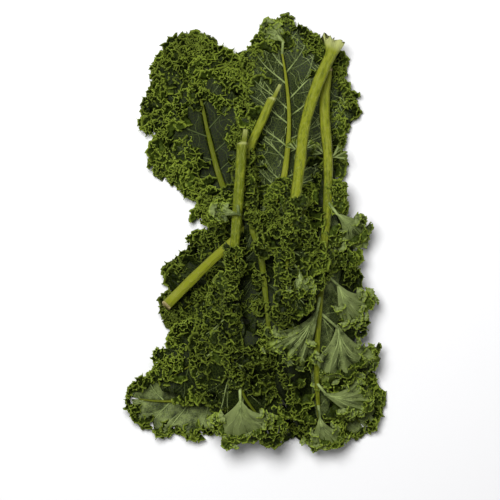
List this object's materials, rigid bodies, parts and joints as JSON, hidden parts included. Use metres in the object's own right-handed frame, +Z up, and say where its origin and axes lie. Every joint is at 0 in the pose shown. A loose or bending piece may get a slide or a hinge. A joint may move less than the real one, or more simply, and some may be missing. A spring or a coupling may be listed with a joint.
{
  "type": "kale bunch",
  "caption": "Heap of loose green curly kale leaves lying flat, their long pale stalks crossing, with lobed, deeply frilled dark blades.",
  "frame": {"origin": "on the surface the heap lies on, under the middle of its outline", "axes": "+Z up from the surface; +Y along the heap's length, towards the two leaves whose tips point away from the others and the cut ends of most stalks; +X to the right seen from above"},
  "size_m": [0.2306, 0.384, 0.1004],
  "materials": {
    "blade": "fresh curly kale leaf: dark green with a slight waxy sheen, yellower green on thin margins lit from above, greyer green underneath",
    "stalk": "fresh kale stalk: pale yellow-green, smooth and faintly grooved, paler and fibrous where it was cut or torn"
  },
  "bodies": {
    "root": {"lower_middle_blade": "blade", "lower_middle_stalk": "stalk", "lower_right_blade": "blade", "lower_right_stalk": "stalk", "bottom_left_blade": "blade", "bottom_left_stalk": "stalk", "top_left_blade": "blade", "top_left_stalk": "stalk", "top_right_blade": "blade", "top_right_stalk": "stalk", "middle_left_blade": "blade", "middle_left_stalk": "stalk", "inner_blade": "blade", "inner_stalk": "stalk", "bottom_middle_blade": "blade", "bottom_middle_stalk": "stalk", "right_blade": "blade", "right_stalk": "stalk", "front_blade": "blade", "front_stalk": "stalk"}
  },
  "joints": []
}
